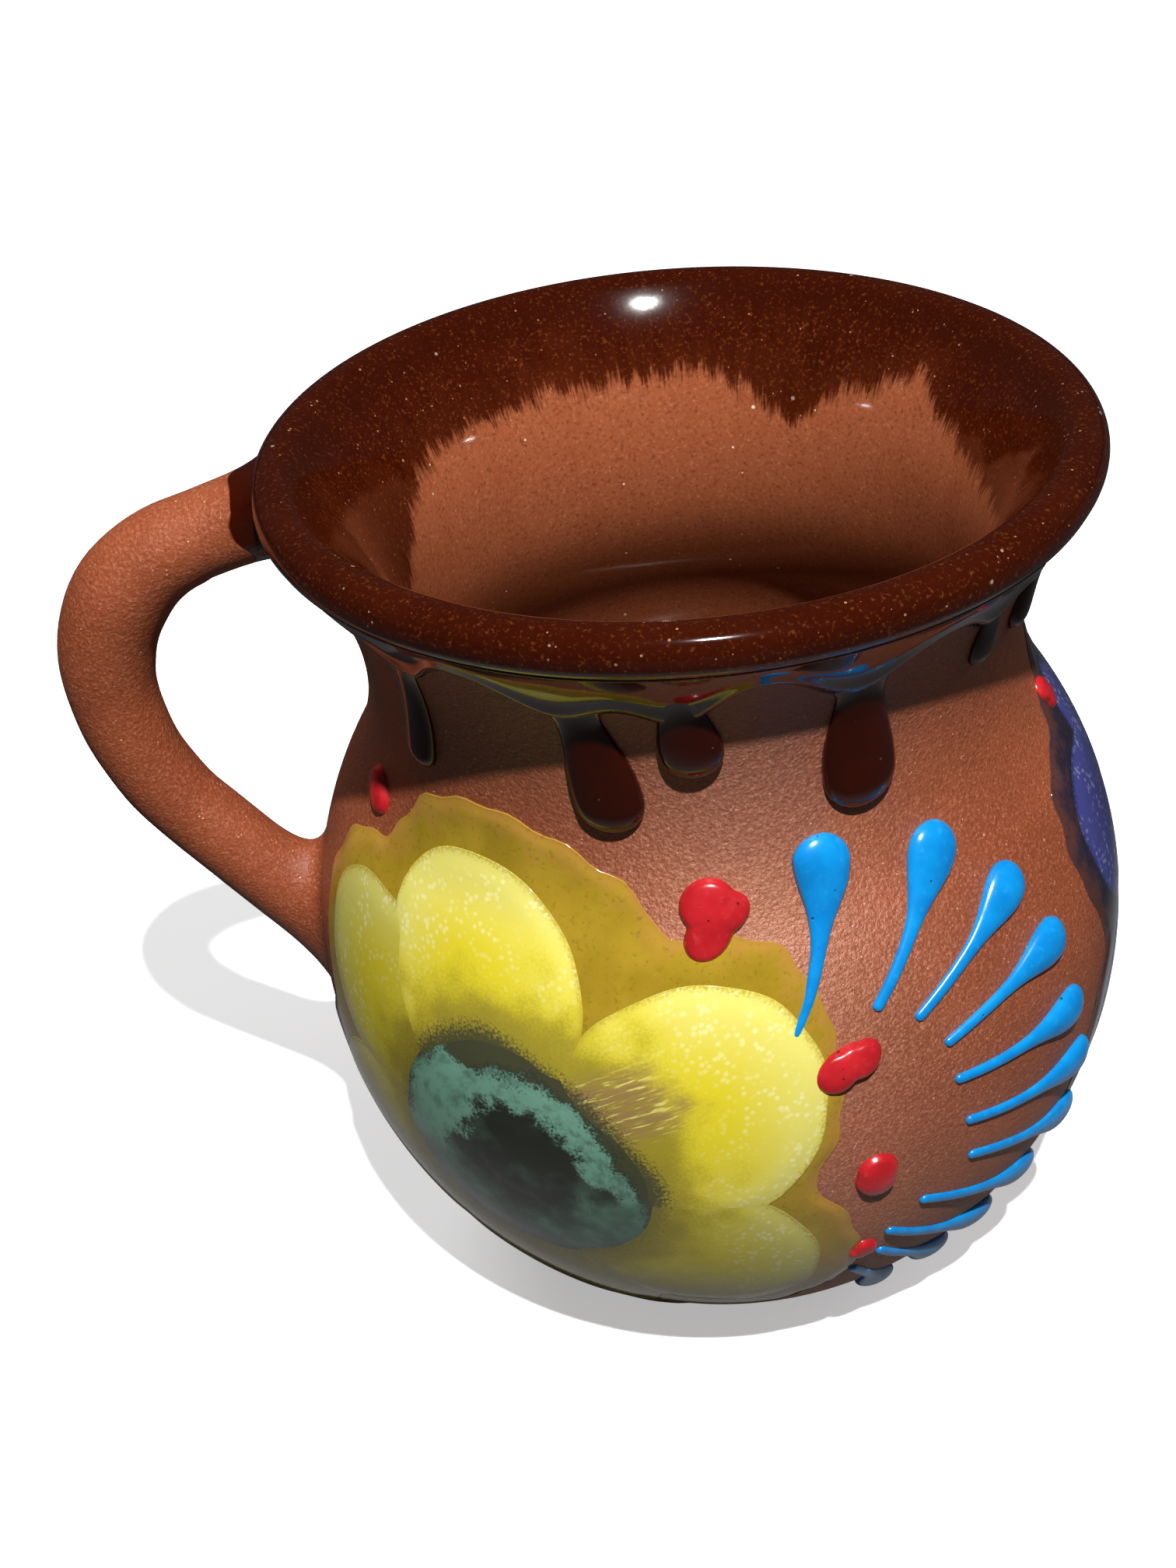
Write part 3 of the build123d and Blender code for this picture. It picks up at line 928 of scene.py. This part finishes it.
def patch(name, turn, outline, height, edge, soft,
          axis=0.0, origin=(0.0, 0.0), dome=0.0, rows=18, dip=0.0):
    """A layer on the outside, inside an outline given as a radius for each direction.

    turn is the flower's azimuth, origin the patch's middle in millimetres across and up from the
    flower's, and axis the direction its painted map lies along. The layer rises from edge to height
    over the soft border, by dome in the middle, and sinks by dip towards the flower's heart.
    """
    directions = np.linspace(0, 360, 180, endpoint=False)
    border = outline(directions)
    way = np.radians(directions + axis)
    belly = length_at(BELLY_HEIGHT)
    rings, marks, discs = [], [], []

    def add(share, out, risen=0.0):
        x = origin[0] + border * share * np.cos(way)
        y = origin[1] + border * share * np.sin(way)
        length = belly + y
        radius = outside.at(length)[0]
        sunk = out - dip * risen * smooth(20, 13, np.hypot(x, y))
        rings.append(outside.place(length, turn + np.degrees(x / radius), sunk))
        marks.append(spun(x, y, -math.radians(axis)).T)
        discs.append(share * np.stack([np.cos(way), np.sin(way)], 1))

    for share in np.linspace(0.05, 1, 6):
        add(share, -SINK)
    for share in 1 - np.linspace(0, 1, rows) ** 1.7 * 0.97:
        risen = smooth(0, soft, border * (1 - share))
        add(share, edge + (height - edge) * risen + dome * math.sqrt(1 - share ** 2), risen)
    return ring_mesh(name, rings, paint=marks, disc=discs)


def petal_outline(long, wide, seed):
    """A wavy oval."""
    def outline(direction):
        way = np.radians(direction)
        oval = long * wide / np.sqrt((wide * np.cos(way)) ** 2 + (long * np.sin(way)) ** 2)
        return oval * (1 + ripple(direction, seed, (2, 3, 5, 9), 0.035))
    return outline


def far_reach(direction, middle, reach, long, wide):
    """Far side of an oval seen from the flower's centre in each direction, 0 where it is missed."""
    off = np.radians(direction - middle)
    a = (np.cos(off) / long) ** 2 + (np.sin(off) / wide) ** 2
    b = -2 * reach * np.cos(off) / long ** 2
    c = (reach / long) ** 2 - 1
    inside = b * b - 4 * a * c
    far = (-b + np.sqrt(np.maximum(inside, 0))) / (2 * a)
    return np.where(inside > 0, far, 0)


def soften(values, count):
    """Rounds off the corners of a closed outline."""
    kernel = np.exp(-np.linspace(-2, 2, 2 * count + 1) ** 2)
    wrapped = np.concatenate([values[-count:], values, values[:count]])
    return np.convolve(wrapped, kernel / kernel.sum(), "valid")


def halo_outline(direction):
    """Outer reach of the petals in each direction, with a margin, run together by the glaze."""
    reach = np.full(len(direction), HEART_RADIUS + 6.0)
    for (middle, distance, long, wide), margin in zip(PETALS, HALO_MARGINS):
        reach = np.maximum(reach, far_reach(direction, middle, distance, long + margin, wide + margin))
    reach = soften(reach, 4) + 4.6 * hump(direction, 60, 22) + 1.5 * hump(direction, 190, 25)
    return reach + ripple(direction, 11, (7, 11, 17, 26, 37), 1.3)


def round_outline(radius, seed, size, notch=0.0):
    """A wavy round, drawn in by notch where the two upper petals meet."""
    def outline(direction):
        wavy = radius * (1 + ripple(direction, seed, (2, 3, 5, 8, 13), size))
        return wavy - notch * hump(direction, 50, 42)
    return outline


# Drops of the fan: degrees round from the flower and height of the head, and of the tail's tip
DROPS = (
    (45.8, 70.4, 37.2, 56.0), (64.6, 67.5, 48.5, 56.5), (74.6, 60.7, 54.4, 54.0),
    (79.1, 52.7, 58.4, 50.0), (81.1, 43.3, 59.4, 45.2), (84.2, 34.2, 60.7, 39.0),
    (86.4, 23.6, 61.1, 33.2), (78.9, 18.5, 53.4, 29.4), (70.8, 14.7, 48.5, 25.6),
    (63.0, 11.4, 48.0, 21.4), (53.0, 8.6, 44.5, 18.5),
)
DROP_HEAD = 2.95
DROP_TAIL = 0.70

# Lobes of each red dot: degrees round from the flower, height and radius
DOTS = (
    ((27.6, 68.4, 2.6), (30.8, 67.4, 2.1), (27.4, 65.2, 2.3)),
    ((42.5, 51.2, 2.3), (44.4, 52.0, 1.9), (46.2, 51.9, 2.0)),
    ((46.9, 37.6, 2.2), (46.6, 36.3, 2.2)),
    ((46.0, 23.9, 1.4), (44.8, 23.2, 1.1)),
)
STRAY_DOTS = {
    "yellow": ((-39.0, 69.0, 2.0), (-38.2, 68.3, 2.0)),
    "blue": ((-26.8, 67.9, 1.7), (-25.4, 66.4, 1.8)),
}


def join(name, pieces):
    """Joins pieces into the first one."""
    bpy.ops.object.select_all(action="DESELECT")
    for piece in pieces:
        piece.select_set(True)
    bpy.context.view_layer.objects.active = pieces[0]
    bpy.ops.object.join()
    pieces[0].name = name
    return pieces[0]


def fan(colour, turn, material):
    """The fan of trailed drops beside a flower."""
    pieces = []
    for number, (head_turn, head_height, tail_turn, tail_height) in enumerate(DROPS):
        size = 1 - 0.06 * min(number, 3) + 0.03 * math.sin(2.4 * number)

        def width(share):
            tail = DROP_TAIL * (1 - 0.20 * share ** 2)
            return tail + (DROP_HEAD * size - tail) * np.exp(-(share / 0.29) ** 2)

        def rise(share):
            return 0.45 * width(share) + 0.20

        bow = 1.0 if number == 0 else 0.35 * math.sin(1.7 * number)
        head = (turn + head_turn, head_height)
        tail_tip = (turn + tail_turn, tail_height)
        pieces.append(bead(f"drop_{number}", head, tail_tip, width, rise, bow))
    piece = join(f"{colour}_fan_of_drops", pieces)
    fit(piece, material, "light_blue_glaze", f"{colour}_flower_drops")


def blob(name, turn, lobes):
    """A raised dot whose outline runs round several lobes."""
    angles, heights, radii = np.array(lobes).T
    length = length_at(heights)
    across = np.radians(angles) * outside.at(length)[0]
    up = length - length_at(BELLY_HEIGHT)
    x0, y0 = np.average([across, up], axis=1, weights=radii ** 2)

    def outline(direction):
        reach = np.full(len(direction), 1.2)
        for x, y, radius in zip(across - x0, up - y0, radii):
            middle = math.degrees(math.atan2(y, x))
            reach = np.maximum(reach, far_reach(direction, middle, math.hypot(x, y), radius, radius))
        return soften(reach, 12)

    return patch(name, turn, outline, 0.25, 0.0, 0.5, origin=(x0, y0), dome=0.42 * max(radii))


def dots(colour, turn, material):
    """The red dots round a flower."""
    pieces = [blob("dot", turn, lobes) for lobes in DOTS + (STRAY_DOTS[colour],)]
    piece = join(f"{colour}_red_dots", pieces)
    fit(piece, material, "red_glaze", f"{colour}_flower_dots")


# Material slots of each flower's petals and halo
SLOTS = {"yellow": ("yellow_glaze", "olive_glaze"), "blue": ("cobalt_glaze", "dark_blue_glaze")}


def flower(colour, turn, petals, halo, heart):
    """A halo, six petals that overlap in turn, the heart and its eye."""
    petal_slot, halo_slot = SLOTS[colour]
    piece = patch(f"{colour}_halo", turn, halo_outline, HALO_HEIGHT, HALO_EDGE, HALO_SOFT, rows=30)
    fit(piece, halo, halo_slot, f"{colour}_flower_halo")
    for number, (middle, distance, long, wide) in enumerate(PETALS, 1):
        origin = spun(distance, 0.0, math.radians(middle))
        piece = patch(f"{colour}_petal_{number}_paint", turn, petal_outline(long, wide, number),
                      RELIEF - RELIEF_STEP * number, PETAL_EDGE, PETAL_SOFT,
                      axis=middle, origin=origin, dip=PETAL_DIP)
        fit(piece, petals[number - 1], petal_slot, f"{colour}_flower_petal_{number}")
    heart_line = round_outline(HEART_RADIUS, 31, 0.03, HEART_NOTCH)
    piece = patch(f"{colour}_heart_ring", turn, heart_line, HEART_HEIGHT, HEART_EDGE, HEART_SOFT)
    fit(piece, heart, "teal_glaze", f"{colour}_flower_heart")
    eye_line = round_outline(EYE_RADIUS, 37, 0.05)
    piece = patch(f"{colour}_eye_paint", turn, eye_line, EYE_HEIGHT, EYE_EDGE, HEART_SOFT)
    fit(piece, heart, "dark_green_glaze", f"{colour}_flower_eye")


# Enamel of the drops and dots: its colour, where it is deep, and where it is pale
LIGHT_BLUE = ((0.002, 0.215, 0.545), (0.0015, 0.170, 0.470), (0.03, 0.30, 0.64))
RED = ((0.420, 0.012, 0.017), (0.320, 0.008, 0.012), (0.54, 0.05, 0.05))

# Petal glaze: its body, its base, its pale tip, the stain by the heart, and its edge
YELLOW_STAIN = (0.046, 0.048, 0.024)
BLUE_STAIN = (0.010, 0.012, 0.016)
YELLOW = ((0.590, 0.490, 0.020), (0.285, 0.230, 0.022), (0.640, 0.605, 0.190),
          YELLOW_STAIN, (0.36, 0.27, 0.020))
# A darker copy for the four lower petals: thinner paint, and painted shade where they face down
THIN_SHADED_YELLOW = [times(0.74, colour) for colour in YELLOW]
COBALT = ((0.022, 0.025, 0.130), (0.012, 0.012, 0.060), (0.050, 0.055, 0.210),
          BLUE_STAIN, (0.012, 0.011, 0.036))
SCORED = (0.24, 0.140, 0.065)

# On the two upper petals the stain is strong, and drawn in where the heart is notched
UPPER_DENT, SCORED_DENT = (0.559, -0.829), (0.906, 0.423)
DENT_DEPTH, DENT_SOOT = 2.9, 0.92

# Halo glaze where it is thick and thin, and the clay showing at its edge
OLIVE = ((0.250, 0.165, 0.010), (0.325, 0.215, 0.016), (0.34, 0.17, 0.032))
DARK_BLUE = ((0.008, 0.007, 0.016), (0.016, 0.013, 0.030), (0.08, 0.030, 0.022))
TEAL, SOOT = (0.120, 0.255, 0.187), (0.018, 0.020, 0.015)

clay = clay_material()
brown = brown_material()
light_blue = enamel_material("light_blue_glaze", *LIGHT_BLUE)
red = enamel_material("red_glaze", *RED)
fit(pot(), clay, "clay", "clay_body")
fit(handle(), handle_material(), "clay", "handle", "upper_joint_clay", "lower_joint_clay")
fit(glaze_coat(), coat_material(), "brown_glaze", "rim_glaze", "liner_glaze")
glaze_runs(brown)
upper_petal = petal_material("yellow_petal_glaze", *YELLOW, UPPER_DENT, DENT_DEPTH, DENT_SOOT)
# Lower petals: thinner paint and painted shade, as a darker copy of the yellow
thin_shaded_petal = petal_material("thin_shaded_yellow_petal_glaze", *THIN_SHADED_YELLOW)
scored_petal = petal_material("scored_petal_glaze", *YELLOW, SCORED_DENT, DENT_DEPTH, DENT_SOOT, SCORED)
blue_petal = petal_material("cobalt_petal_glaze", *COBALT)
olive = halo_material("olive_halo_glaze", *OLIVE)
dark_halo = halo_material("dark_halo_glaze", *DARK_BLUE)
yellow_heart = heart_material("teal_heart_glaze", TEAL, SOOT, YELLOW_STAIN)
blue_heart = heart_material("teal_heart_on_blue", TEAL, SOOT, BLUE_STAIN)
paints = {
    "yellow": ((scored_petal, upper_petal) + (thin_shaded_petal,) * 4, olive, yellow_heart),
    "blue": ((blue_petal,) * 6, dark_halo, blue_heart),
}
for colour, turn in FLOWERS.items():
    flower(colour, turn, *paints[colour])
    fan(colour, turn, light_blue)
    dots(colour, turn, red)


# Floor, light and camera, whose places are in metres

MUG_MIDDLE = Vector((0, 0, 0.05))


def floor():
    """A pale floor; reflections and bounced light see it as a greyer one."""
    mesh = bpy.data.meshes.new("floor")
    side = 4.0
    corners = [(-side, -side, 0), (side, -side, 0), (side, side, 0), (-side, side, 0)]
    mesh.from_pydata(corners, [], [(0, 1, 2, 3)])
    plane = in_scene("floor", mesh)
    material, shader = finish_of("pale_floor", Roughness=0.9, Specular_IOR_Level=0.0,
                                 Emission_Color=(1, 1, 1, 1))
    soft = noise(millimetres(shader), 300.0, 2.0)
    white = blend(soft, (0.93,) * 3, (0.95,) * 3)
    path = put(shader, "LightPath")
    seen = path.outputs["Is Camera Ray"]
    distance = reach_of(millimetres(shader))
    away = ramp(distance, 55.0, 105.0)
    mirrored = blend(away, (0.16,) * 3, (0.03,) * 3)
    grey = blend(path.outputs["Is Glossy Ray"], (0.06,) * 3, mirrored)
    feed(shader, "Base Color", blend(seen, grey, white))
    glow = product(seen, ramp(distance, 250.0, 900.0, 0.42, 1.0))
    feed(shader, "Emission Strength", glow)
    mesh.materials.append(material)


def lamp(name, place, size, power, mirrored=True):
    """A round soft light aimed at the mug; one that isn't mirrored leaves no spot on the glaze."""
    light = bpy.data.lights.new(name, "AREA")
    light.shape = "DISK"
    light.size = size
    light.energy = power
    holder = in_scene(name, light)
    holder.location = place
    holder.visible_glossy = mirrored
    holder.rotation_euler = (MUG_MIDDLE - Vector(place)).to_track_quat("-Z", "Y").to_euler()


def camera():
    """A 50 mm camera at the photograph's viewpoint, with the photograph's slight roll."""
    lens = bpy.data.cameras.new("camera")
    lens.lens = 50.0
    lens.sensor_width = 36.0
    holder = in_scene("camera", lens)
    right = Vector((0.99461826, -0.01106886, -0.10301451))
    up = Vector((0.08888043, 0.60210246, 0.79345630))
    back = Vector((0.05324263, -0.79834210, 0.59984591))
    viewpoint = Vector((0, -0.19241, 0.20125))
    turned = Matrix((right, up, back)).transposed().to_4x4()
    turned.translation = viewpoint
    holder.matrix_world = turned
    bpy.context.scene.camera = holder


def world():
    """Pale surroundings, dimmer in reflections than they look."""
    made = bpy.data.worlds.new("studio")
    made.use_nodes = True
    back = made.node_tree.nodes["Background"]
    path = put(back, "LightPath")
    lit, seen, mirrored = 0.06, 1.0, 0.03
    brighter = product(path.outputs["Is Camera Ray"], seen - lit)
    dimmer = product(path.outputs["Is Glossy Ray"], lit - mirrored)
    level = reckon("SUBTRACT", sum_of(lit, brighter), dimmer)
    feed(back, "Strength", level)
    back.inputs["Color"].default_value = (1, 1, 1, 1)
    bpy.context.scene.world = made


floor()
lamp("key", (0.070, -0.365, 0.705), 0.02, 10.8)
lamp("fill", (0.55, -0.60, 0.30), 0.6, 0.10, mirrored=False)
lamp("side", (0.75, 0.42, 0.35), 0.5, 1.8, mirrored=False)
lamp("back", (-0.30, 0.65, 0.45), 0.5, 3.2, mirrored=False)
camera()
world()
bpy.context.scene.view_settings.view_transform = "Standard"
